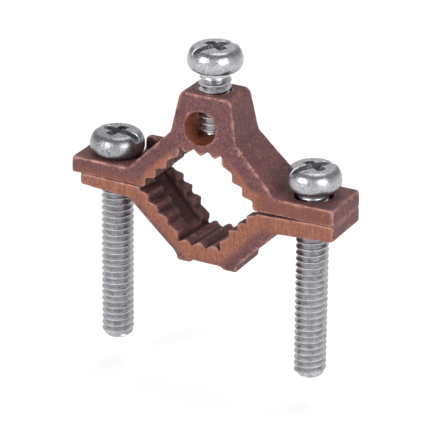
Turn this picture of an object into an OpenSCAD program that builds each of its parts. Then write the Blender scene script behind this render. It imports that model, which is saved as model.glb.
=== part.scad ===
// Two-jaw ground clamp for pipe: cast jaws, two clamp screws and a wire set screw.
// X runs from ear to ear, Y along the pipe with the front at -Y, Z up along the screws.
// The jaws part at Z = 0 and the pipe lies along Y through the origin.

/* [Jaw castings] */
// Length of the upper jaw over both ears
jaw_len = 55; // [53:0.5:58]
// Depth of the jaws along the pipe, at the ears
jaw_depth = 11.7; // [11.2:0.1:13]
// How much shorter the left ear of the lower jaw is
lower_step = 1.8; // [0:0.1:2.4]
// Thickness of the upper jaw's ears
ear_t = 3.2; // [2.8:0.1:4]
// Thickness of the lower jaw's left ear at its end
left_ear_t = 2.2; // [1.9:0.1:3.4]
// Thickness of the lower jaw's right ear at its end
right_ear_t = 3.1; // [2.4:0.1:3.8]
// How much thicker the lower ears are where the arms leave them
ear_draft = 0.8; // [0:0.1:1]
// Thickness of the upper jaw's sloping arms behind the tooth roots
arm_t = 4; // [3.4:0.1:4.6]
// Thickness of the lower jaw's sloping arms behind the tooth roots
lower_arm_t = 4.3; // [3.8:0.1:4.8]
// How far the lower left ear falls away towards the opening
left_relief = 0.2; // [0.1:0.1:0.6]
// How far the lower right ear falls away towards the opening
right_relief = 0.5; // [0.2:0.1:0.9]
// Length of the flat land at the outer end of each lower ear
ear_land = 4.5; // [2:0.5:6]
// Depth of the lower jaw at its feet
foot_depth = 9.4; // [8.8:0.1:10.5]
// Radius of the castings' corners seen from above
corner_r = 0.6; // [0.3:0.1:1.6]
// Radius where each arm leaves its ear
shoulder_r = 0.9; // [0.3:0.1:1.5]
// Radius of the ears' outer edges
ear_r = 0.5; // [0.2:0.1:0.8]
// Radius of the edges where the lower ears end at the parting plane
parting_r = 0.4; // [0.1:0.1:0.6]

/* [Bite] */
// Width of the opening between the tooth roots where the jaws part
bite_w = 26; // [24:0.5:27]
// Width of the flat at the far end of each bite
bite_flat_w = 8.9; // [8:0.1:10]
// Height of the tooth roots on the upper jaw's flat
bite_h = 9.4; // [9:0.1:9.8]
// Depth of the tooth roots on the lower jaw's flat
lower_bite_h = 10.15; // [9.2:0.05:10.4]
// How far the upper bite stands to the right of the upper jaw's middle
upper_bite_x = -0.3; // [-0.6:0.1:0.6]
// How far the lower bite stands to the right of the upper jaw's middle
lower_bite_x = 0.15; // [-0.6:0.05:0.6]
// Angle at which the lower teeth run to the right as they go back
bite_skew = 7.4; // [0:0.2:9]
// Angle at which the lower bite rises towards the back
bite_rise = 1.2; // [0:0.2:3]
// Distance from tooth to tooth along an arm of the upper jaw
tooth_pitch = 3.2; // [2.8:0.1:3.6]
// Distance from tooth to tooth along an arm of the lower jaw
lower_pitch = 2.75; // [2.5:0.05:3.3]
// Height of a tooth over its roots
tooth_h = 0.9; // [0.4:0.05:1.1]
// Where the tip lies between its two roots, as a share of the pitch
tooth_lean = 0.62; // [0.4:0.01:0.7]
// Radius of the tooth tips
tooth_r = 0.5; // [0.1:0.05:0.6]
// Number of teeth across each flat
flat_teeth = 3; // [2:1:4]
// Width of the channel that splits the arm teeth into two rows
channel_w = 4; // [2.5:0.1:5]
// Depth of that channel under the tooth roots
channel_d = 0.35; // [0.1:0.05:0.8]

/* [Feet] */
// Depth of the lower jaw's floor under the tooth roots
floor_t = 3.35; // [3:0.05:4.2]
// Height of the two feet under the floor
foot_h = 0.6; // [0.2:0.1:1]
// Width of each foot
foot_w = 3; // [2.4:0.1:3.4]
// Distance over the outer sides of the feet
feet_span = 12.8; // [12:0.1:13.6]
// Radius of the edges round the feet
foot_r = 0.5; // [0.1:0.05:0.6]

/* [Wire tower] */
// Height of the tower's top over the parting plane
tower_h = 20.1; // [19.5:0.1:22]
// Width of the tower at its top
tower_w = 10.6; // [9.6:0.1:11.5]
// Depth of the tower at its top
tower_d = 8.3; // [8:0.1:9.5]
// Depth of the tower where it leaves the arms
tower_foot_d = 9.8; // [9.4:0.1:10.6]
// Lean of the tower's flanks from upright
tower_lean = 10.8; // [6:0.2:13]
// Radius of the tower's top edges
tower_r = 0.9; // [0.3:0.1:1.5]
// Radius where the tower leaves its arms
heel_r = 0.8; // [0.3:0.1:1.5]
// Bore for the earth wire, through the tower from front to back
wire_bore = 6.5; // [5:0.1:6.8]
// Depth of the wire bore's axis under the tower's top
wire_drop = 6.5; // [5.8:0.1:6.6]
// How far the wire bore lies to the right of the tower's middle
wire_x = -0.6; // [-0.8:0.1:0.8]

/* [Screws] */
// Distance of the clamp screws from the ends of the upper jaw
ear_end = 6.8; // [6.4:0.1:7.2]
// Outer diameter of the screw thread
screw_d = 6.15; // [5.8:0.05:6.35]
// Thread pitch
screw_pitch = 1.27; // [1:0.01:1.5]
// Depth of the thread
thread_h = 0.62; // [0.3:0.02:0.75]
// Length of a clamp screw under its head
clamp_screw_len = 38.1; // [34:0.1:44]
// Length of the set screw under its head
set_screw_len = 12.7; // [11.5:0.1:13]
// Length of the plain neck under a head
neck_l = 1.1; // [0.6:0.1:2]
// Diameter of that neck
neck_d = 5.45; // [5:0.05:5.8]
// Least length of the plain tip under the thread
tip_l = 0.6; // [0.4:0.1:1.2]
// Diameter of the screw heads
head_d = 10.5; // [9.6:0.1:11]
// Height of the screw heads
head_h = 4.6; // [3.8:0.1:5]
// Diameter of the heads' bearing face
head_seat_d = 8.2; // [7.8:0.1:9]
// Diameter of the flat on top of the heads
head_flat_d = 7; // [6.2:0.1:7.4]
// Height at which the heads are widest
belly_h = 1.7; // [1.2:0.1:2.2]
// Rise of the crown on top of the heads
crown_h = 0.15; // [0.05:0.05:0.4]
// Width of the driving slot
slot_w = 1.3; // [0.8:0.1:1.8]
// Depth of the driving slot
slot_d = 1.3; // [0.8:0.1:1.8]
// Span of the cross recess
cross_w = 5; // [4:0.1:5.6]
// Span of the cross recess at its bottom
cross_foot_w = 2; // [1.6:0.1:3]
// Depth at which the wings of the cross recess start to close in
cross_bend = 1; // [0.4:0.1:1.2]
// Width of each wing of the cross recess
cross_t = 1.5; // [1:0.1:1.8]
// Depth of the cross recess
cross_d = 2.4; // [1.6:0.1:2.8]
// How far the right clamp screw is backed off
right_back_off = 1.2; // [0:0.1:3]
// How far the set screw stands out of the tower
set_back_off = 4.1; // [3.4:0.1:4.6]
// Direction of the driving slot of the left clamp screw
left_turn = -10; // [-90:1:90]
// Direction of the driving slot of the right clamp screw
right_turn = 60; // [-90:1:90]
// Direction of the driving slot of the set screw
set_turn = 63; // [-90:1:90]

/* [Screw holes] */
// Diameter of the clearance hole in the right ear
clear_hole_d = 7.4; // [7:0.1:8]
// Width of the open slot in the left ear
ear_slot_w = 7.2; // [7:0.1:7.6]
// Running clearance round a screw in its tapped hole
tap_clear = 0.1; // [0.05:0.05:0.2]
// How far above the wire bore's floor the tapped hole for the set screw ends
tap_stop = 0.1; // [0.05:0.05:0.5]
// Height of the retaining lips over the left ear
lip_h = 2.5; // [1.6:0.1:3]
// Thickness of the retaining lips
lip_t = 1.6; // [1.2:0.1:1.7]
// Radius of the lips' upper corners
lip_r = 1.2; // [0.4:0.1:1.4]

/* [Hidden] */

$fn = 48;
bronze = "#7d5650";
worn_bronze = "#8a5a4a";
zinc = "#b4b8bc";

lower_len = jaw_len - lower_step;
screw_x = jaw_len / 2 - ear_end;
wire_z = tower_h - wire_drop;
bite_half = bite_w / 2;
flat_half = bite_flat_w / 2;
foot_z = lower_bite_h + floor_t + foot_h;
// Angle between the flanks of the thread
thread_angle = 60;
// Overshoot of a cutting shape past the face that it cuts
cut = 1;

// Points

function unit(v) = v / norm(v);

// Corner p1 of a path rounded to radius r, the radius limited by the two sides
function rounded(p0, p1, p2, r, steps = 5) =
    let(a = unit(p0 - p1), b = unit(p2 - p1),
        half = acos(a * b) / 2,
        room = 0.48 * min(norm(p0 - p1), norm(p2 - p1)),
        reach = min(r / tan(half), room),
        rr = reach * tan(half),
        c = p1 + unit(a + b) * rr / sin(half),
        s = p1 + a * reach - c, e = p1 + b * reach - c,
        a0 = atan2(s.y, s.x), turn = atan2(s.x * e.y - s.y * e.x, s * e))
    [for (i = [0:steps]) c + rr * [cos(a0 + turn * i / steps), sin(a0 + turn * i / steps)]];

// Closed outline of [x, y, radius] corners
function outline(pts) =
    let(n = len(pts), p = [for (q = pts) [q.x, q.y]])
    [for (i = [0:n - 1]) each
        (pts[i].z == 0 ? [p[i]] : rounded(p[(i + n - 1) % n], p[i], p[(i + 1) % n], pts[i].z))];

function mirrored(pts) = [for (i = [len(pts) - 1:-1:0]) [-pts[i].x, pts[i].y]];

// Tooth roots down the right arm, from the flat's corner to past the parting plane
function arm_roots(pitch) = [for (s = [(bite_half - flat_half) * sqrt(2):-pitch:-2 * pitch])
    [bite_half, 0] + s / sqrt(2) * [-1, 1]];

// Root and rounded tip of each tooth from a to b, standing off to the given side
function teeth(roots, side, lean) =
    [for (i = [0:len(roots) - 2])
        let(a = roots[i], b = roots[i + 1], d = b - a,
            tip = a + d * lean + tooth_h * side)
        each concat([a], rounded(a, tip, b, tooth_r, 3))];

// Outline of the bite on the right of the middle, from the flat at height h to below the parting plane
function arm_teeth(h, pitch) =
    let(roots = arm_roots(pitch), n = len(roots))
    concat(teeth(concat([[flat_half, h]], [for (i = [1:n - 1]) roots[i]]),
                 [-1, -1] / sqrt(2), 1 - tooth_lean),
           [roots[n - 1]]);
function flat_roots(h) =
    [for (i = [0:flat_teeth]) [-flat_half + bite_flat_w * i / flat_teeth, h]];
function bite_outline(h, pitch) =
    concat(mirrored(arm_teeth(h, pitch)), teeth(flat_roots(h), [0, -1], 0.5), arm_teeth(h, pitch));

// Outer face of an arm of thickness t, at a given height over the parting plane.
// The arms slope at 45 degrees, so a thickness square to them spans sqrt(2) times as much along X.
function arm_x(t, z) = bite_half + t * sqrt(2) - z;
// Flank of the tower at a given height
function flank_x(z) = tower_w / 2 + (tower_h - z) * tan(tower_lean);
tower_foot_z = (arm_x(arm_t, 0) - tower_w / 2 - tower_h * tan(tower_lean)) / (1 - tan(tower_lean));

// Solids drawn in the plane that they face

module along_y(depth, at = 0) {
    translate([0, at + depth / 2, 0]) rotate([90, 0, 0]) linear_extrude(depth) children();
}

module along_x(len) {
    rotate([90, 0, 90]) linear_extrude(len, center = true) children();
}

// Rounded plan of a jaw from x0 to x1, as tall as both jaws
module plan(x0, x1) {
    h = jaw_depth / 2;
    translate([0, 0, -foot_z - cut]) linear_extrude(foot_z + tower_h + 2 * cut)
        polygon(outline([[x0, -h, corner_r], [x1, -h, corner_r], [x1, h, corner_r], [x0, h, corner_r]]));
}

// Everything that the teeth of one jaw leave open, and the channels between their rows
module bite(h, pitch) {
    along_y(jaw_depth + 4 * cut) polygon(bite_outline(h, pitch));
    for (s = [0, 1]) mirror([s, 0, 0]) along_y(channel_w)
        polygon([[flat_half, bite_h - tooth_h], [flat_half + channel_d * sqrt(2), bite_h - tooth_h],
                 [bite_half + channel_d * sqrt(2) + cut, -cut], [flat_half, -cut]]);
}

// Castings

module upper_body() {
    end = jaw_len / 2;
    intersection() {
        along_y(jaw_depth) polygon(outline([
            [-end, 0, 0], [end, 0, 0], [end, ear_t, ear_r], [arm_x(arm_t, ear_t), ear_t, shoulder_r],
            [flank_x(tower_foot_z), tower_foot_z, heel_r], [tower_w / 2, tower_h, tower_r],
            [-tower_w / 2, tower_h, tower_r], [-flank_x(tower_foot_z), tower_foot_z, heel_r],
            [-arm_x(arm_t, ear_t), ear_t, shoulder_r], [-end, ear_t, ear_r]]));
        along_x(jaw_len + 2 * cut) polygon(outline([
            [-jaw_depth / 2, -cut, 0], [jaw_depth / 2, -cut, 0], [jaw_depth / 2, ear_t, 0],
            [tower_foot_d / 2, tower_foot_z, 0], [tower_d / 2, tower_h, tower_r],
            [-tower_d / 2, tower_h, tower_r], [-tower_foot_d / 2, tower_foot_z, 0],
            [-jaw_depth / 2, ear_t, 0]]));
        plan(-end, end);
    }
}

// The two lips that keep the left screw's head from sliding out of its slot
module lips() {
    end = jaw_len / 2;
    top = ear_t + lip_h;
    side = ear_slot_w / 2;
    intersection() {
        along_y(lip_t, jaw_depth / 2 - lip_t / 2) {
            polygon(outline([[-end, 0, 0], [-screw_x - side, 0, 0],
                             [-screw_x - side, top, lip_r], [-end, top, lip_r]]));
            polygon(outline([[-screw_x + side, 0, 0], [-bite_half, 0, 0],
                             [-bite_half, top, 0], [-screw_x + side, top, lip_r]]));
        }
        plan(-end, end);
    }
}

module upper_jaw() {
    color(bronze) difference() {
        union() {
            upper_body();
            lips();
        }
        translate([upper_bite_x, 0, 0]) bite(bite_h, tooth_pitch);
        // wire bore
        translate([wire_x, 0, wire_z]) rotate([90, 0, 0])
            cylinder(d = wire_bore, h = jaw_depth + 2 * cut, center = true);
        // tapped hole for the set screw, from the tower's top down to the wire bore's floor
        translate([0, 0, wire_z - wire_bore / 2 + tap_stop])
            cylinder(d = screw_d + 2 * tap_clear, h = tower_h);
        // clearance hole in the right ear
        translate([screw_x, 0, -cut]) cylinder(d = clear_hole_d, h = ear_t + 2 * cut);
        // slot in the left ear, open to the back
        translate([-screw_x, 0, -cut]) {
            cylinder(d = ear_slot_w, h = ear_t + 2 * cut);
            translate([-ear_slot_w / 2, 0, 0])
                cube([ear_slot_w, jaw_depth / 2 + cut, ear_t + lip_h + 2 * cut]);
        }
    }
}

// The lower casting with its middle at X = 0
module lower_body() {
    end = lower_len / 2;
    left_t = left_ear_t + ear_draft;
    right_t = right_ear_t + ear_draft;
    out = feet_span / 2;
    in = out - foot_w;
    hip = arm_x(lower_arm_t, 0) - out;
    floor_z = lower_bite_h + floor_t;
    intersection() {
        along_y(jaw_depth) polygon(outline([
            [-end, 0, parting_r], [-end + ear_land, 0, 0], [-bite_half, -left_relief, 0],
            [bite_half, -right_relief, 0], [end - ear_land, 0, 0], [end, 0, parting_r],
            [end, -right_ear_t, ear_r], [arm_x(lower_arm_t, right_t), -right_t, shoulder_r],
            [out, -hip, foot_r], [out, -foot_z, foot_r], [in, -foot_z, foot_r],
            [in - foot_h / 2, -floor_z, foot_r], [-in + foot_h / 2, -floor_z, foot_r],
            [-in, -foot_z, foot_r], [-out, -foot_z, foot_r], [-out, -hip, foot_r],
            [-arm_x(lower_arm_t, left_t), -left_t, shoulder_r], [-end, -left_ear_t, ear_r]]));
        along_x(lower_len + 2 * cut) polygon([
            [-jaw_depth / 2, cut], [-jaw_depth / 2, -right_ear_t], [-foot_depth / 2, -foot_z],
            [foot_depth / 2, -foot_z], [jaw_depth / 2, -right_ear_t], [jaw_depth / 2, cut]]);
        plan(-end, end);
    }
}

module lower_jaw() {
    color(worn_bronze) difference() {
        translate([lower_step / 2, 0, 0]) lower_body();
        translate([lower_bite_x, 0, 0]) rotate([bite_rise, 0, -bite_skew])
            mirror([0, 0, 1]) bite(lower_bite_h, lower_pitch);
        // tapped holes for the clamp screws
        for (x = [-screw_x, screw_x])
            translate([x, 0, -foot_z])
                cylinder(d = screw_d + 2 * tap_clear, h = foot_z + cut);
    }
}

// Screws, with the bearing face of the head at Z = 0

// Half profile of a screw from its tip up to its crown, the thread drawn as rings
function screw_profile(len) =
    let(r = screw_d / 2, core = r - thread_h, flank = thread_h * tan(thread_angle / 2),
        crest = screw_pitch / 8, rings = floor((len - neck_l - tip_l) / screw_pitch),
        head_r = head_d / 2, seat = head_seat_d / 2, flat = head_flat_d / 2)
    concat([[0, -len], [core - thread_h / 2, -len], [core, -len + thread_h / 2]],
           [for (i = [rings - 1:-1:0])
               let(z = -neck_l - i * screw_pitch)
               each [[core, z - 2 * flank - crest], [r, z - flank - crest], [r, z - flank], [core, z]]],
           [[neck_d / 2, -flank / 2], [neck_d / 2, 0], [seat, 0]],
           [for (a = [-60:15:0]) [seat + (head_r - seat) * cos(a), belly_h * (1 + sin(a))]],
           [for (a = [15:15:75]) [flat + (head_r - flat) * cos(a),
                                  belly_h + (head_h - crown_h - belly_h) * sin(a)]],
           [[flat, head_h - crown_h], [0, head_h]]);

// Straight slot and cross recess that drive a head
module drive() {
    translate([-head_d, -slot_w / 2, head_h - slot_d]) cube([2 * head_d, slot_w, head_h]);
    for (a = [0, 90]) rotate([0, 0, a]) translate([0, 0, head_h])
        rotate([90, 0, 0]) linear_extrude(cross_t, center = true)
            polygon([[-cross_w / 2, cut], [-cross_w / 2, -cross_bend], [-cross_foot_w / 2, -cross_d],
                     [cross_foot_w / 2, -cross_d], [cross_w / 2, -cross_bend], [cross_w / 2, cut]]);
}

module screw(len, turn) {
    color(zinc) rotate([0, 0, turn]) difference() {
        rotate_extrude() polygon(screw_profile(len));
        drive();
    }
}

module left_clamp_screw() {
    translate([-screw_x, 0, ear_t]) screw(clamp_screw_len, left_turn);
}

module right_clamp_screw() {
    translate([screw_x, 0, ear_t + right_back_off]) screw(clamp_screw_len, right_turn);
}

module wire_set_screw() {
    translate([0, 0, tower_h + set_back_off]) screw(set_screw_len, set_turn);
}

upper_jaw();
lower_jaw();
left_clamp_screw();
right_clamp_screw();
wire_set_screw();
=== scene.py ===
import math
import bpy
import numpy as np
from mathutils import Matrix, Vector


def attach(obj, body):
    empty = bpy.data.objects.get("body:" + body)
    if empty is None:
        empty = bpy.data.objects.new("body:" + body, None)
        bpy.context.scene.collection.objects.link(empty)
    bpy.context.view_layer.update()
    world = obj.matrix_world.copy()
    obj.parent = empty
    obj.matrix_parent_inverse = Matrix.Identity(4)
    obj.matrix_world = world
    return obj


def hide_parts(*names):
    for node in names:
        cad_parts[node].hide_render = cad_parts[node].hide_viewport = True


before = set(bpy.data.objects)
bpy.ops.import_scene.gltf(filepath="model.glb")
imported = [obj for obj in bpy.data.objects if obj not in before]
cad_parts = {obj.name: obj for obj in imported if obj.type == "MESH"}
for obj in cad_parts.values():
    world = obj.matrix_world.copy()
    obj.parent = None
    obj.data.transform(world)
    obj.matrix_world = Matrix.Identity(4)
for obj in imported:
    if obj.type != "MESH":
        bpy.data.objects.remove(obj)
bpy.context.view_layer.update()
mm = 0.001

# Pieces are modelled in millimetres and brought to metres when they are finished.
past = 30         # how far a casting's cutters reach from the middle, past its ends
blankHalf = 8     # half depth of a casting's blank, before its side outline trims it

# Hand tools


def putDown():
    if bpy.context.object and bpy.context.object.mode != "OBJECT":
        bpy.ops.object.mode_set(mode="OBJECT")
    bpy.ops.object.select_all(action="DESELECT")


def pickUp(piece):
    putDown()
    piece.select_set(True)
    bpy.context.view_layer.objects.active = piece


def editAll(piece):
    pickUp(piece)
    bpy.ops.object.mode_set(mode="EDIT")
    bpy.ops.mesh.select_all(action="SELECT")


def useModifier(piece, kind, **settings):
    pickUp(piece)
    modifier = piece.modifiers.new(kind.title(), kind)
    for name, value in settings.items():
        setattr(modifier, name, value)
    bpy.ops.object.modifier_apply(modifier=modifier.name)


def combine(piece, tool, operation):
    useModifier(piece, "BOOLEAN", object=tool, operation=operation, solver="EXACT")
    bpy.data.objects.remove(tool)


def outlineRing(name, points, along):
    # a ring of vertices through the outline, in the plane square to the given axis
    putDown()
    bpy.ops.mesh.primitive_circle_add(vertices=len(points), radius=1)
    piece = bpy.context.object
    piece.name = name
    for vertex, (a, b) in zip(piece.data.vertices, points):
        vertex.co = {"X": (0, a, b), "Y": (a, 0, b), "Z": (a, b, 0)}[along]
    return piece


def slab(name, points, along, low, high):
    piece = outlineRing(name, points, along)
    axis = "XYZ".index(along)
    editAll(piece)
    bpy.ops.mesh.edge_face_add()
    reach = [0, 0, 0]
    reach[axis] = high - low
    bpy.ops.mesh.extrude_region_move(TRANSFORM_OT_translate={"value": reach})
    bpy.ops.mesh.select_all(action="SELECT")
    start = [0, 0, 0]
    start[axis] = low
    bpy.ops.transform.translate(value=start)
    bpy.ops.mesh.normals_make_consistent(inside=False)
    bpy.ops.object.mode_set(mode="OBJECT")
    return piece


def drill(piece, radius, start, end, sides=96):
    start, end = Vector(start), Vector(end)
    way = end - start
    putDown()
    bpy.ops.mesh.primitive_cylinder_add(
        vertices=sides, radius=radius, depth=way.length, location=(start + end) / 2,
        rotation=way.to_track_quat("Z", "Y").to_euler())
    combine(piece, bpy.context.object, "DIFFERENCE")


def arcCorner(before, corner, after, radius, steps=5):
    # the corner of an outline rounded to a radius
    before, corner, after = Vector(before), Vector(corner), Vector(after)
    one, two = (before - corner).normalized(), (after - corner).normalized()
    half = one.angle(two) / 2
    reach = min(radius / math.tan(half), 0.48 * (before - corner).length, 0.48 * (after - corner).length)
    bend = reach * math.tan(half)
    centre = corner + (one + two).normalized() * bend / math.sin(half)
    start, end = corner + one * reach - centre, corner + two * reach - centre
    turn = math.atan2(start.x * end.y - start.y * end.x, start.dot(end))
    first = math.atan2(start.y, start.x)
    angles = [first + turn * i / steps for i in range(steps + 1)]
    return [(centre.x + bend * math.cos(a), centre.y + bend * math.sin(a)) for a in angles]


def softOutline(corners):
    # corners are (a, b, radius)
    points = []
    for i, (a, b, radius) in enumerate(corners):
        if radius == 0:
            points.append((a, b))
            continue
        before = corners[i - 1][:2]
        after = corners[(i + 1) % len(corners)][:2]
        points += arcCorner(before, (a, b), after, radius)
    return points


def coat(piece, finish):
    piece.data.materials.clear()
    piece.data.materials.append(finish)


def finished(piece, body, slot, *nodes):
    pickUp(piece)
    piece.scale = (mm, mm, mm)
    bpy.ops.object.transform_apply(location=True, rotation=True, scale=True)
    bpy.ops.object.shade_smooth_by_angle(angle=math.radians(38))
    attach(piece, body)
    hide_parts(*nodes)
    triangles = sum(len(face.vertices) - 2 for face in piece.data.polygons)
    print("finished", piece.name, triangles, "triangles")


def markCurvature(piece, rounds=8):
    # how sharply the surface bends out (ridge) or in (dent), per millimetre, kept on the vertices;
    # each round spreads it to the next vertices
    mesh = piece.data
    count = len(mesh.vertices)
    points = np.empty(count * 3)
    mesh.vertices.foreach_get("co", points)
    points = points.reshape(-1, 3)
    normals = np.empty(count * 3)
    mesh.vertices.foreach_get("normal", normals)
    normals = normals.reshape(-1, 3)
    pairs = np.empty(len(mesh.edges) * 2, dtype=np.int32)
    mesh.edges.foreach_get("vertices", pairs)
    one, two = pairs.reshape(-1, 2).T
    way = points[two] - points[one]
    bend = ((normals[two] - normals[one]) * way).sum(1) / np.maximum((way * way).sum(1), 1e-4)
    share = np.bincount(one, minlength=count) + np.bincount(two, minlength=count)
    total = np.bincount(one, bend, count) + np.bincount(two, bend, count)
    curve = total / np.maximum(share, 1)
    for _ in range(rounds):
        around = np.bincount(one, curve[two], count) + np.bincount(two, curve[one], count)
        curve = 0.5 * curve + 0.5 * around / np.maximum(share, 1)
    for name, values in (("ridge", np.maximum(curve, 0)), ("dent", np.maximum(-curve, 0))):
        mesh.attributes.new(name, "FLOAT", "POINT").data.foreach_set("value", values.astype(np.float32))


# Castings

bite = {
    "half": 13.0,            # half width between the tooth roots where the jaws part
    "flatHalf": 4.45,
    "toothHeight": 1.2,      # before the smoothing wears it down
    "lean": 0.62,            # where the tip lies between its roots, as a share of the pitch
    "tipRadius": 0.6,
    "flatTeeth": 3,
    "channelHalf": 1.9,
    "channelDepth": 0.35,
    "channelOver": 2.0,      # how far the channel's cutter stands over the tooth roots
    "channelStop": 0.4,      # where the channel ends, under the flat
    "channelDraft": 1.45,    # how much wider the channel is at its mouth
}
# the flat's height, and the pitch, place and turns of the row
upperBite = {"height": 9.4, "pitch": 3.2, "x": -0.3, "skew": 0, "rise": 0}
lowerBite = {"height": 10.15, "pitch": 2.75, "x": 0.15, "skew": 7.4, "rise": 1.2}
cast = {
    "voxel": 0.2, "edgeRounds": 22, "toothRounds": 5,
    "toothMargin": 0.4, "toothFade": 0.8,      # the softer edges start here behind the roots
    "partingSoftness": 0.4, "partingHeight": 1.2,    # share of the edge rounds, up to this height
    "waviness": 0.08, "wavinessSize": 5.0, "skin": 0.04, "skinSize": 0.9,
}


def toothLine(roots, side, lean):
    points = []
    for a, b in zip(roots, roots[1:]):
        a, b = Vector(a), Vector(b)
        tip = a + (b - a) * lean + bite["toothHeight"] * Vector(side)
        points.append(tuple(a))
        points += arcCorner(a, tip, b, bite["tipRadius"], 4)
    return points


def biteOutline(row):
    half, flat, top, pitch = bite["half"], bite["flatHalf"], row["height"], row["pitch"]
    arm = (half - flat) * math.sqrt(2)
    steps = int(arm / pitch) + 3
    down = [arm - i * pitch for i in range(steps) if arm - i * pitch >= -2 * pitch]
    roots = [(half - s / math.sqrt(2), s / math.sqrt(2)) for s in down]
    roots[0] = (flat, top)
    slope = (-math.sqrt(0.5), -math.sqrt(0.5))
    right = toothLine(roots, slope, 1 - bite["lean"]) + [roots[-1]]
    n = bite["flatTeeth"]
    across = [(-flat + 2 * flat * i / n, top) for i in range(n + 1)]
    left = [(-x, z) for x, z in reversed(right)]
    return left + toothLine(across, (0, -1), 0.5) + right


def bitePlace(row):
    skew = Matrix.Rotation(math.radians(-row["skew"]), 4, "Z")
    rise = Matrix.Rotation(math.radians(row["rise"]), 4, "X")
    return Matrix.Translation((row["x"], 0, 0)) @ (skew @ rise)


def cutBite(piece, row, up):
    # up is 1 for the upper jaw and -1 for the lower one
    half, wide, over = bite["half"], bite["channelHalf"], bite["channelOver"]
    floor = half + bite["channelDepth"] * math.sqrt(2)
    top = row["height"] - bite["channelStop"]
    cutters = [([(x, z * up) for x, z in biteOutline(row)], blankHalf, 1)]
    for side in (-1, 1):
        groove = [(half - over - top, top), (floor - top, top), (floor + 1, -1), (half - over, -1)]
        cutters.append(([(x * side, z * up) for x, z in groove], wide, bite["channelDraft"]))
    for points, reach, draft in cutters:
        cutter = slab("biteCutter", points, "Y", -reach, reach)
        for vertex in cutter.data.vertices:
            # wider towards the opening, so the pattern draws out of the sand
            if abs(vertex.co.x) + abs(vertex.co.z) < half:
                vertex.co.y *= draft
        cutter.matrix_world = bitePlace(row)
        combine(piece, cutter, "DIFFERENCE")


def castSurface(piece, seed, row, low, high):
    # the pattern's edges are rounded, the teeth less than the rest, and the skin gets its grain
    useModifier(piece, "REMESH", mode="VOXEL", voxel_size=cast["voxel"])
    useModifier(piece, "SMOOTH", factor=0.5, iterations=cast["toothRounds"])
    group = piece.vertex_groups.new(name="awayFromTeeth")
    back = bitePlace(row).inverted()
    for vertex in piece.data.vertices:
        x, y, z = back @ vertex.co
        behind = max((abs(x) + abs(z) - bite["half"]) / math.sqrt(2), abs(z) - row["height"])
        away = min(max((behind - cast["toothMargin"]) / cast["toothFade"], 0), 1)
        # the top of the upper jaw is softer than the edges at the parting plane
        least, above = cast["partingSoftness"], z - cast["partingHeight"]
        weight = away * (least + (1 - least) * min(max(above, 0), 1))
        group.add([vertex.index], weight, "REPLACE")
    useModifier(piece, "SMOOTH", factor=0.5, iterations=cast["edgeRounds"], vertex_group=group.name)
    piece.vertex_groups.clear()
    for name in ("waviness", "skin"):
        texture = bpy.data.textures.new(name + seed, "CLOUDS")
        texture.noise_scale = cast[name + "Size"]
        texture.noise_depth = 2
        useModifier(piece, "DISPLACE", texture=texture, strength=cast[name], mid_level=0.5)
    for vertex in piece.data.vertices:
        vertex.co = [min(max(value, a), b) for value, a, b in zip(vertex.co, low, high)]


upper = {
    "length": 55, "depth": 11.7, "ear": 3.2, "arm": 4.0, "shoulderRadius": 1.0, "planRadius": 0.5,
    "towerHeight": 20.1, "towerWidth": 10.6, "towerDepth": 8.3, "towerRadius": 1.4,
    "towerFoot": (6.89, 11.77), "footDepth": 9.8,
    "screwX": 20.7, "earHole": 3.7, "slotHalf": 3.6, "lipHeight": 2.5, "lipThickness": 1.6,
    "wireRadius": 3.25, "wireX": -0.6, "wireZ": 13.6, "tapRadius": 3.16, "tapStop": 0.1,
}


def plan(left, right):
    h, radius = upper["depth"] / 2, upper["planRadius"]
    corners = [(left, -h, radius), (right, -h, radius), (right, h, radius), (left, h, radius)]
    return slab("plan", softOutline(corners), "Z", -past, past)


def makeUpperJaw():
    end, ear = upper["length"] / 2, upper["ear"]
    top, wide = upper["towerHeight"], upper["towerWidth"] / 2
    footX, footZ = upper["towerFoot"]
    shoulder = bite["half"] + upper["arm"] * math.sqrt(2) - ear
    bend = upper["shoulderRadius"]
    right = [(end, 0, 0), (end, ear, 0.4), (shoulder, ear, bend), (footX, footZ, bend),
             (wide, top, upper["towerRadius"])]
    left = [(-x, z, r) for x, z, r in reversed(right)]
    jaw = slab("upperJaw", softOutline(right + left), "Y", -blankHalf, blankHalf)
    half, deep, foot = upper["depth"] / 2, upper["towerDepth"] / 2, upper["footDepth"] / 2
    front = [(half, -1), (half, ear), (foot, footZ), (deep, top)]
    side = front + [(-y, z) for y, z in reversed(front)]
    combine(jaw, slab("side", side, "X", -past, past), "INTERSECT")
    slot, screwX, rise = upper["slotHalf"], upper["screwX"], ear + upper["lipHeight"]
    # two lips behind the slot, rounded at their upper corners
    for a, b, ra, rb in ((-end, -screwX - slot, 1.0, 0.9), (-screwX + slot, -bite["half"], 0.9, 0)):
        lip = softOutline([(a, 1, 0), (b, 1, 0), (b, rise, rb), (a, rise, ra)])
        combine(jaw, slab("lip", lip, "Y", half - upper["lipThickness"], half), "UNION")
    combine(jaw, plan(-end, end), "INTERSECT")
    # the slot runs out of the back of the left ear, and the right ear has a round hole
    mouth = [(-screwX - slot, 0), (-screwX + slot, 0), (-screwX + slot, 9), (-screwX - slot, 9)]
    combine(jaw, slab("slotCutter", mouth, "Z", -5, 12), "DIFFERENCE")
    drill(jaw, slot, (-screwX, 0, -5), (-screwX, 0, 12))
    drill(jaw, upper["earHole"], (screwX, 0, -5), (screwX, 0, 12))
    cutBite(jaw, upperBite, 1)
    castSurface(jaw, "Upper", upperBite, (-end, -half, 0), (end, half, top))
    wireX, wireZ = upper["wireX"], upper["wireZ"]
    drill(jaw, upper["wireRadius"], (wireX, -9, wireZ), (wireX, 9, wireZ))
    drill(jaw, upper["tapRadius"], (0, 0, wireZ - upper["wireRadius"] + upper["tapStop"]), (0, 0, top + 3))
    return jaw


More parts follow.
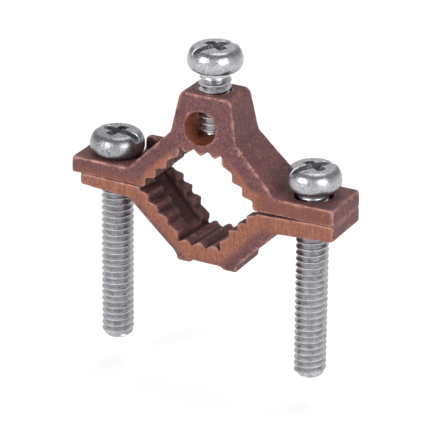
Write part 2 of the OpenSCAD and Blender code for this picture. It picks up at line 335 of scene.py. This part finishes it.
lower = {
    "left": -25.7, "right": 27.5, "leftEar": 2.2, "rightEar": 3.1, "draft": 0.8, "arm": 4.3,
    "shift": 0.9, "leftRelief": 0.2, "rightRelief": 0.5, "land": 4.5,
    "floor": 13.5, "feet": 14.1, "footOuter": 6.4, "footInner": 3.4, "footDepth": 9.4,
    "tapRadius": 3.16,
}


def makeLowerJaw():
    left, right, shift = lower["left"], lower["right"], lower["shift"]
    leftEar, rightEar, draft = lower["leftEar"], lower["rightEar"], lower["draft"]
    out, inn, feet = lower["footOuter"], lower["footInner"], lower["feet"]
    arm = bite["half"] + lower["arm"] * math.sqrt(2)
    hip, land, half = arm - out, lower["land"], bite["half"]
    # (x, z, radius), from the left ear's top along the parting plane and back under the feet
    corners = [
        (left, 0, 0.3), (left + land, 0, 0), (shift - half, -lower["leftRelief"], 0),
        (shift + half, -lower["rightRelief"], 0), (right - land, 0, 0), (right, 0, 0.3),
        (right, -rightEar, 0.4), (shift + arm - rightEar - draft, -rightEar - draft, 1.0),
        (shift + out, -hip, 0.5), (shift + out, -feet, 0.4), (shift + inn, -feet, 0.3),
        (shift + inn - 0.3, -lower["floor"], 0.3), (shift - inn + 0.3, -lower["floor"], 0.3),
        (shift - inn, -feet, 0.9), (shift - out, -feet, 1.3), (shift - out, -hip, 2.0),
        (shift - arm + leftEar + draft, -leftEar - draft, 1.0), (left, -leftEar, 0.4)]
    jaw = slab("lowerJaw", softOutline(corners), "Y", -blankHalf, blankHalf)
    deep, foot = upper["depth"] / 2, lower["footDepth"] / 2
    front = [(deep, 1), (deep, -rightEar), (foot, -feet)]
    side = front + [(-y, z) for y, z in reversed(front)]
    combine(jaw, slab("side", side, "X", -past, past), "INTERSECT")
    combine(jaw, plan(left, right), "INTERSECT")
    cutBite(jaw, lowerBite, -1)
    castSurface(jaw, "Lower", lowerBite, (left, -deep, -feet), (right, deep, 0))
    for x in (-upper["screwX"], upper["screwX"]):
        drill(jaw, lower["tapRadius"], (x, 0, -8), (x, 0, 5))
    return jaw


# Screws

screwShape = {
    "radius": 3.075, "pitch": 1.27, "threadHeight": 0.6, "neck": 1.1, "neckRadius": 2.72,
    "tipRadius": 2.15, "headRadius": 5.25, "headHeight": 4.58, "seatRadius": 4.1,
    "flatRadius": 3.5, "belly": 1.7, "crown": 0.15, "slotWidth": 1.5, "slotDepth": 1.4,
    "crossWidth": 5.2, "crossFoot": 2.0, "crossThick": 1.9, "crossBend": 1.0, "crossDepth": 2.4,
    "headSides": 96, "threadSides": 56, "headVoxel": 0.12, "headRounds": 4,
}


def spun(name, chain, **screwSettings):
    # a chain of (radius, height), opened between its ends and turned about Z
    piece = outlineRing(name, chain, "Y")
    editAll(piece)
    bpy.ops.mesh.select_all(action="DESELECT")
    bpy.ops.object.mode_set(mode="OBJECT")
    closing = {len(chain) - 1, 0}
    for edge in piece.data.edges:
        edge.select = set(edge.vertices) == closing
    for vertex in piece.data.vertices:
        vertex.select = False
    bpy.ops.object.mode_set(mode="EDIT")
    bpy.ops.mesh.select_mode(type="EDGE")
    bpy.ops.mesh.delete(type="EDGE")
    bpy.ops.mesh.select_mode(type="VERT")
    bpy.ops.object.mode_set(mode="OBJECT")
    useModifier(piece, "SCREW", use_merge_vertices=True, merge_threshold=0.0005,
                use_normal_calculate=True, **screwSettings)
    return piece


def makeHead():
    s = screwShape
    r, seat, flat, belly = s["headRadius"], s["seatRadius"], s["flatRadius"], s["belly"]
    rise = s["headHeight"] - s["crown"] - belly
    under = [math.radians(a) for a in range(-72, 1, 12)]
    over = [math.radians(a) for a in range(12, 85, 12)]
    chain = [(0, 0), (seat * 0.97, 0)]
    chain += [(seat + (r - seat) * math.cos(a), belly * (1 + math.sin(a))) for a in under]
    chain += [(flat + (r - flat) * math.cos(a), belly + rise * math.sin(a)) for a in over]
    chain += [(flat * 0.9, s["headHeight"] - s["crown"] * 0.7), (flat * 0.5, s["headHeight"] - 0.03),
              (0, s["headHeight"])]
    head = spun("head", chain, steps=s["headSides"], render_steps=s["headSides"])
    top, wide = s["headHeight"], s["slotWidth"] / 2
    floor = top - s["slotDepth"]
    slot = [(-wide, floor), (wide, floor), (wide, top + 1), (-wide, top + 1)]
    combine(head, slab("slotCutter", slot, "X", -8, 8), "DIFFERENCE")
    w, f = s["crossWidth"] / 2, s["crossFoot"] / 2
    wing = [(-w, top + 1), (-w, top - s["crossBend"]), (-f, top - s["crossDepth"]),
            (f, top - s["crossDepth"]), (w, top - s["crossBend"]), (w, top + 1)]
    thick = s["crossThick"] / 2
    combine(head, slab("wingCutter", wing, "Y", -thick, thick), "DIFFERENCE")
    combine(head, slab("wingCutter", wing, "X", -thick, thick), "DIFFERENCE")
    useModifier(head, "REMESH", mode="VOXEL", voxel_size=s["headVoxel"])
    useModifier(head, "SMOOTH", factor=0.5, iterations=s["headRounds"])
    return head


def makeShank(length):
    s = screwShape
    outer, pitch, sides = s["radius"], s["pitch"], s["threadSides"]
    core, crest = outer - s["threadHeight"], pitch / 8
    flank = s["threadHeight"] * math.tan(math.radians(30))
    # one turn of the thread, its crest and root slightly rounded
    chain = [(core, 0), (core + 0.06, 0.05), (outer - 0.05, flank - 0.03), (outer, flank + 0.03),
             (outer, flank + crest), (outer - 0.05, flank + crest + 0.06),
             (core + 0.06, 2 * flank + crest), (core, 2 * flank + crest + 0.05), (core, pitch)]
    turns = int(length / pitch) + 4
    shank = spun("shank", chain, steps=sides, render_steps=sides, iterations=turns, screw_offset=pitch)
    editAll(shank)
    bpy.ops.mesh.remove_doubles(threshold=0.001)
    bpy.ops.transform.translate(value=(0, 0, -length - 2 * pitch))
    for height, cut in ((-length, "clear_inner"), (0.4, "clear_outer")):
        bpy.ops.mesh.select_all(action="SELECT")
        bpy.ops.mesh.bisect(plane_co=(0, 0, height), plane_no=(0, 0, 1), use_fill=True, **{cut: True})
    bpy.ops.mesh.select_all(action="SELECT")
    bpy.ops.mesh.normals_make_consistent(inside=False)
    bpy.ops.object.mode_set(mode="OBJECT")
    # the thread runs out into a plain neck under the head, and the tip is chamfered
    for vertex in shank.data.vertices:
        x, y, z = vertex.co
        radius = math.hypot(x, y)
        if radius < 0.5:
            continue
        plain = min(max((z + s["neck"] + 0.9) / 0.9, 0), 1)
        wanted = radius + (s["neckRadius"] - radius) * plain
        wanted = min(wanted, s["tipRadius"] + (z + length) * 1.1)
        vertex.co.x *= wanted / radius
        vertex.co.y *= wanted / radius
    return shank


def makeScrew(name, head, screw):
    shank = makeShank(screw["length"])
    pickUp(head)
    bpy.ops.object.duplicate()
    piece = bpy.context.object
    piece.name = name
    combine(piece, shank, "UNION")
    place = (screw["x"], 0, screw["seat"] + screw["backedOff"])
    turn = Matrix.Rotation(math.radians(screw["turn"]), 4, "Z")
    piece.matrix_world = Matrix.Translation(place) @ turn
    pickUp(piece)
    bpy.ops.object.transform_apply(location=True, rotation=True, scale=True)
    return piece


# Materials


class Signal:
    # an output socket, so that sums on it add Math nodes
    def __init__(self, finish, socket):
        self.finish = finish
        self.socket = socket

    def maths(self, operation, first, second=0.0):
        return self.finish.add("ShaderNodeMath", {"operation": operation}, {0: first, 1: second})

    def __add__(self, other):
        return self.maths("ADD", self, other)

    def __radd__(self, other):
        return self.maths("ADD", other, self)

    def __sub__(self, other):
        return self.maths("SUBTRACT", self, other)

    def __rsub__(self, other):
        return self.maths("SUBTRACT", other, self)

    def __mul__(self, other):
        return self.maths("MULTIPLY", self, other)

    def __rmul__(self, other):
        return self.maths("MULTIPLY", other, self)

    def __pow__(self, other):
        return self.maths("POWER", self, other)

    def __rpow__(self, other):
        return self.maths("POWER", other, self)

    def __abs__(self):
        return self.maths("ABSOLUTE", self)

    def over(self, other):
        return self.maths("MAXIMUM", self, other)

    def under(self, other):
        return self.maths("MINIMUM", self, other)


class Finish:
    # the nodes of a material or of the world
    def __init__(self, owner):
        self.owner = owner
        owner.use_nodes = True
        self.nodes = owner.node_tree.nodes
        self.links = owner.node_tree.links
        self.nodes.clear()

    def add(self, kind, settings=None, sockets=None, output=0):
        node = self.nodes.new(kind)
        for name, value in (settings or {}).items():
            setattr(node, name, value)
        for name, value in (sockets or {}).items():
            if isinstance(value, Signal):
                self.links.new(value.socket, node.inputs[name])
            else:
                node.inputs[name].default_value = value
        return Signal(self, node.outputs[output] if node.outputs else None)

    def place(self, scale=(1000, 1000, 1000)):
        # the point on the piece, in millimetres unless it is stretched
        point = self.add("ShaderNodeTexCoord", output="Object")
        return self.add("ShaderNodeMapping", None, {"Vector": point, "Scale": scale})

    def along(self, vector, axis):
        return self.add("ShaderNodeSeparateXYZ", None, {0: vector}, axis)

    def normal(self):
        return self.add("ShaderNodeNewGeometry", None, None, "Normal")

    def seen(self):
        # 1 for what the camera, a reflection or glass sees, and 0 for what only lights the object
        rays = [self.add("ShaderNodeLightPath", output=name)
                for name in ("Is Camera Ray", "Is Glossy Ray", "Is Transmission Ray")]
        return (rays[0] + rays[1] + rays[2]).under(1.0)

    def noise(self, point, scale, detail=2.0, roughness=0.5, distortion=0.0):
        return self.add("ShaderNodeTexNoise", None, {
            "Vector": point, "Scale": scale, "Detail": detail, "Roughness": roughness,
            "Distortion": distortion})

    def ramp(self, value, low, high, start=0.0, end=1.0):
        return self.add("ShaderNodeMapRange", {"interpolation_type": "SMOOTHSTEP"}, {
            "Value": value, "From Min": low, "From Max": high, "To Min": start, "To Max": end})

    def mix(self, factor, first, second):
        settings = {"data_type": "RGBA", "clamp_factor": True}
        return self.add("ShaderNodeMix", settings, {0: factor, 6: first, 7: second}, 2)

    def marked(self, name):
        return self.add("ShaderNodeAttribute", {"attribute_name": name}, None, "Fac")

    def bump(self, height, strength, distance, normal=None):
        sockets = {"Height": height, "Strength": strength, "Distance": distance}
        if normal:
            sockets["Normal"] = normal
        return self.add("ShaderNodeBump", None, sockets)

    def surface(self, **sockets):
        named = {name.replace("_", " "): value for name, value in sockets.items()}
        shader = self.add("ShaderNodeBsdfPrincipled", None, named)
        self.add("ShaderNodeOutputMaterial", None, {"Surface": shader})
        return self.owner


bronzeColours = {
    "patina": (0.098, 0.036, 0.040, 1),
    "patinaLight": (0.228, 0.096, 0.098, 1),
    "patinaDark": (0.050, 0.019, 0.020, 1),
    "copper": (0.58, 0.30, 0.25, 1),
    "rubbed": (0.40, 0.155, 0.090, 1),
    "rubbedDark": (0.195, 0.070, 0.052, 1),
    "drilled": (0.42, 0.130, 0.055, 1),
    "drilledDark": (0.12, 0.035, 0.022, 1),
    "paintedShade": (0.026, 0.009, 0.009, 1),
}

upperWear = {
    "bite": upperBite,
    "rimLow": 0.7, "rimHigh": 2.1,    # the rubbed rim fades out between these heights over the bite
    "flatRim": 0.25,                  # share of the rim that is left at the flat
    "earShade": 0.12,                 # how much darker the rim is on the ears
    "earRise": 2.4,                   # how much higher it reaches on the right ear
    # the tapped holes: how far they stand to either side, their foot and their radius
    "tapX": 0.0, "tapFoot": 10.37, "tapRadius": upper["tapRadius"],
}
lowerWear = {
    "bite": lowerBite, "rimLow": 2.5, "rimHigh": 5.0, "flatRim": 1.0, "earShade": 0.0, "earRise": 0.0,
    "tapX": upper["screwX"], "tapFoot": -20.0, "tapRadius": lower["tapRadius"],
}


def bronze(name, wear):
    c = bronzeColours
    f = Finish(bpy.data.materials.new(name))
    point = f.place()
    x, y, z = (f.along(point, axis) for axis in range(3))
    blotch = f.noise(point, 0.3, 2, 0.5)
    grain = f.noise(point, 1.9, 3, 0.6)
    speck = f.noise(point, 5.5, 2, 0.6)
    ridge = f.marked("ridge")
    dent = f.marked("dent")
    # the patina: a fine mottle over faint clouds
    mottle = grain * 0.4 + speck * 0.6
    colour = f.mix(f.ramp(mottle, 0.38, 0.62), c["patina"], c["patinaLight"])
    colour = f.mix(f.ramp(blotch, 0.32, 0.62, 0.3, 0.0), colour, c["patinaDark"])
    # the rim that was trimmed and rubbed, along the teeth and the ears, on the front and back only
    foot = (bite["half"] - abs(x)).over(0.0).under(upperBite["height"])
    height = abs(z) - foot
    outward = f.ramp(abs(f.along(f.normal(), 1)), 0.75, 0.95) * f.ramp(abs(y), 3.6, 4.2)
    wander = (blotch - 0.5) * 2.5 + (grain - 0.5) * 1.2 - f.ramp(x, 10, 14, 0.0, wear["earRise"])
    rim = f.ramp(height + wander, wear["rimLow"], wear["rimHigh"], 1.0, 0.0)
    rim = rim * outward * f.ramp(abs(x), 4.5, 7.5, wear["flatRim"], 1.0)
    strands = f.noise(f.place((2600, 2600, 260)), 1.0, 3, 0.6)
    shade = f.ramp(abs(x), 11, 14, 0.0, wear["earShade"])
    streaks = strands * 0.35 + mottle * 0.65 - shade
    rubbed = f.mix(f.ramp(streaks, 0.38, 0.6), c["rubbedDark"], c["rubbed"])
    colour = f.mix(rim * 0.92, colour, rubbed)
    # painted shade in the bite, most of it in the channel between the rows, where little light reaches
    inside = f.ramp(height, 0.2, -0.3) * (1.0 - outward)
    across = y + x * math.tan(math.radians(wear["bite"]["skew"]))
    channel = f.ramp(abs(across), 2.5, 1.7) * f.ramp(abs(x), 4.2, 5.6) * f.ramp(abs(x), 13.8, 13.2)
    channel = channel * f.ramp(height, 1.2, 0.8)
    colour = f.mix((inside * 0.3).over(channel * 0.7), colour, c["paintedShade"])
    # copper where the edges are worn
    aside, above, wireRadius = x - upper["wireX"], z - upper["wireZ"], upper["wireRadius"]
    reach = (aside * aside + above * above) ** 0.5
    patch = f.noise(point, 0.55, 2, 0.5)
    worn = ridge.under(1.0) * 1.7 + (speck - 0.5) * 3.4 + (grain - 0.5) * 1.6 + (patch - 0.5) * 2.8
    kept = f.ramp(reach, wireRadius + 0.2, wireRadius + 0.7, 0.4, 1.0)
    edge = f.ramp(worn, 0.4, 2.4) * (1.0 - inside * 0.8) * (1.0 - rim * 0.4) * kept
    colour = f.mix(edge * 0.75, colour, c["copper"])
    # painted shade in the hollows, deeper inside the bite
    hollowShade = f.ramp(dent * (1.0 + inside) + (grain - 0.5) * 0.4, 0.12, 0.7)
    colour = f.mix(hollowShade * 0.75, colour, c["paintedShade"])
    # the drilled walls of the wire bore and the tapped holes
    tapSide, tapRadius, tapFoot = abs(x) - wear["tapX"], wear["tapRadius"], wear["tapFoot"]
    tapReach = (tapSide * tapSide + y * y) ** 0.5
    bore = f.ramp(reach, wireRadius + 0.02, wireRadius + 0.06, 1.0, 0.0)
    tapped = f.ramp(tapReach, tapRadius + 0.02, tapRadius + 0.06, 1.0, 0.0)
    bore = bore.over(tapped * f.ramp(z, tapFoot, tapFoot + 0.02))
    rings = f.noise(f.place((1500, 6000, 1500)), 1.0, 2, 0.6)
    drilled = f.mix(f.ramp(rings * 0.75 + grain * 0.25, 0.34, 0.62), c["drilledDark"], c["drilled"])
    colour = f.mix(bore, colour, drilled)
    coarse = f.bump(grain + speck * 0.7, 0.4, 0.00011)
    normalOut = f.bump(strands * rim, 0.2, 0.0001, coarse)
    # the channel is made more metallic so that it loses its pale sheen, part of the painted shade there
    metallic = 0.2 + edge * 0.4 + channel * 0.4
    rough = 0.55 - edge * 0.14 + (speck - 0.5) * 0.25
    return f.surface(Base_Color=colour, Metallic=metallic, Roughness=rough, Specular_IOR_Level=0.3,
                     Normal=normalOut)


zincColours = {
    "bright": (0.62, 0.62, 0.65, 1), "mid": (0.35, 0.35, 0.37, 1), "dark": (0.06, 0.06, 0.068, 1)}


def zinc(name, screw):
    c = zincColours
    darkening, under = screw["darkening"], screw["seat"] + screw["backedOff"]
    f = Finish(bpy.data.materials.new(name))
    point = f.place()
    patch = f.noise(point, 0.7, 3, 0.6, 0.5)
    grain = f.noise(point, 3.2, 4, 0.7)
    ridge = f.marked("ridge")
    dent = f.marked("dent")
    colour = f.mix(f.ramp(patch * 0.6 + grain * 0.4, 0.38, 0.6), c["mid"], c["bright"])
    spots = f.ramp(patch * 0.45 + grain * 0.55, 0.5, 0.62)
    # the heads are darker than the threads, and a dark reflection is painted on the shoulder under the
    # crown
    head = f.ramp(f.along(point, 2), under - 0.5, under + 0.2)
    tilt = f.along(f.normal(), 2)
    shoulder = f.ramp(tilt, 0.35, 0.62) * f.ramp(tilt, 0.97, 0.8) * head
    # painted shade: more dark speckle where the head faces down
    underShade = f.ramp(tilt, 0.1, -0.5) * head
    speckle = f.ramp(grain * 0.75 + patch * 0.25 + underShade * 0.06, 0.5, 0.6) * head
    colour = f.mix(spots * (0.3 + 0.3 * darkening + head * 0.15), colour, c["dark"])
    colour = f.mix(speckle * (0.45 + 0.3 * darkening), colour, c["dark"])
    # the head made darker by the darkening amount
    colour = f.mix(head * 0.35 * darkening, colour, c["dark"])
    # painted dark reflection on the shoulder under the crown
    colour = f.mix(shoulder * 0.6, colour, c["dark"])
    # painted shade in the dents: the drive recess and the thread roots, less on the head
    colour = f.mix(f.ramp(dent, 0.3, 1.6) * (0.75 - head * 0.5), colour, c["dark"])
    # painted highlight on the crests and edges
    colour = f.mix(f.ramp(ridge, 0.6, 2.0) * 0.4, colour, c["bright"])
    rough = screw["rough"] + f.ramp(patch, 0.3, 0.7) * 0.12 + (grain - 0.5) * 0.2
    normal = f.bump(grain + patch * 0.4, 0.2 + 0.25 * darkening, 0.0001)
    return f.surface(Base_Color=colour, Metallic=0.95, Roughness=rough, Normal=normal)


# Camera, light and floor

camera = {
    "azimuth": 27.408, "elevation": 23.51, "roll": 0.537, "distance": 0.62245, "lens": 277.98,
    "shift": (0.00203, -0.06246),
}


def makeCamera():
    a, e = math.radians(camera["azimuth"]), math.radians(camera["elevation"])
    back = Vector((math.sin(a) * math.cos(e), -math.cos(a) * math.cos(e), math.sin(e)))
    putDown()
    bpy.ops.object.camera_add(location=back * camera["distance"])
    made = bpy.context.object
    roll = Matrix.Rotation(math.radians(camera["roll"]), 3, "Z").to_quaternion()
    made.rotation_euler = (back.to_track_quat("Z", "Y") @ roll).to_euler()
    made.data.lens = camera["lens"]
    made.data.sensor_width = 36
    made.data.shift_x, made.data.shift_y = camera["shift"]
    made.data.clip_start = 0.01
    bpy.context.scene.camera = made


lamps = {
    # name: place, size, power in watts
    "leftLamp": ((-0.36, -0.78, 0.40), 0.46, 4.4),
    "rightLamp": ((0.80, -0.40, 0.36), 0.60, 4.0),
    "topLamp": ((0.05, 0.20, 0.90), 0.50, 2.2),
}
studio = {
    "sky": 0.8,                    # the world's own shade
    "dim": 0.45, "bright": 1.0,    # the world where it lights the object, and where it is seen
    "floorSize": 6,
    "floorHeight": -0.0402,        # just under the lower jaw's feet when it is all the way down
    "paper": 0.86, "lift": 0.34,   # the floor's own shade, and what lifts it to white where it is seen
}


def makeLight():
    for name, (place, size, power) in lamps.items():
        putDown()
        bpy.ops.object.light_add(type="AREA", location=place)
        lamp = bpy.context.object
        lamp.name = name
        lamp.data.size = size
        lamp.data.energy = power
        lamp.rotation_euler = Vector(place).to_track_quat("Z", "Y").to_euler()
    world = bpy.data.worlds.new("studio")
    bpy.context.scene.world = world
    f = Finish(world)
    strength = studio["dim"] + f.seen() * (studio["bright"] - studio["dim"])
    shade = studio["sky"]
    sky = f.add("ShaderNodeBackground", None, {"Color": (shade, shade, shade, 1), "Strength": strength})
    f.add("ShaderNodeOutputWorld", None, {"Surface": sky})


def stagePaper():
    f = Finish(bpy.data.materials.new("floorPaper"))
    shade, lift = studio["paper"], studio["lift"]
    glow = f.mix(f.seen(), (0, 0, 0, 1), (lift, lift, lift, 1))
    return f.surface(Base_Color=(shade, shade, shade, 1), Roughness=0.9, Emission_Color=glow,
                     Emission_Strength=1.0)


def makeFloor():
    putDown()
    bpy.ops.mesh.primitive_plane_add(size=studio["floorSize"], location=(0, 0, studio["floorHeight"]))
    floor = bpy.context.object
    floor.name = "floor"
    bpy.ops.object.transform_apply(location=True, rotation=True, scale=True)
    coat(floor, stagePaper())


bpy.context.scene.view_settings.view_transform = "Standard"
makeCamera()
makeLight()
makeFloor()
print("stage ready")

upperJaw = makeUpperJaw()
markCurvature(upperJaw)
coat(upperJaw, bronze("upperBronze", upperWear))
finished(upperJaw, "upper_jaw", "cast_bronze", "upper_jaw")
print("upper jaw cast")

lowerJaw = makeLowerJaw()
markCurvature(lowerJaw)
coat(lowerJaw, bronze("lowerBronze", lowerWear))
finished(lowerJaw, "lower_jaw", "cast_bronze", "lower_jaw")
print("lower jaw cast")

screws = {
    # seat is the height of the face under the head, and backedOff the gap that the head leaves over it;
    # turn is the slot's, and darkening is 0 for bright plating and 1 for a darker, more speckled head
    "leftClampScrew": {
        "node": "left_clamp_screw", "length": 38.1, "x": -upper["screwX"], "seat": upper["ear"],
        "backedOff": 0.0, "turn": -10, "darkening": 0.7, "rough": 0.24,
    },
    "rightClampScrew": {
        "node": "right_clamp_screw", "length": 38.1, "x": upper["screwX"], "seat": upper["ear"],
        "backedOff": 1.2, "turn": 60, "darkening": 0.1, "rough": 0.24,
    },
    "wireSetScrew": {
        "node": "wire_set_screw", "length": 12.7, "x": 0, "seat": upper["towerHeight"],
        "backedOff": 4.1, "turn": 63, "darkening": 0.0, "rough": 0.17,
    },
}
headBlank = makeHead()
for name, screw in screws.items():
    piece = makeScrew(name, headBlank, screw)
    markCurvature(piece)
    coat(piece, zinc(name + "Zinc", screw))
    finished(piece, screw["node"], "zinc_steel", screw["node"])
bpy.data.objects.remove(headBlank)
print("screws cut")
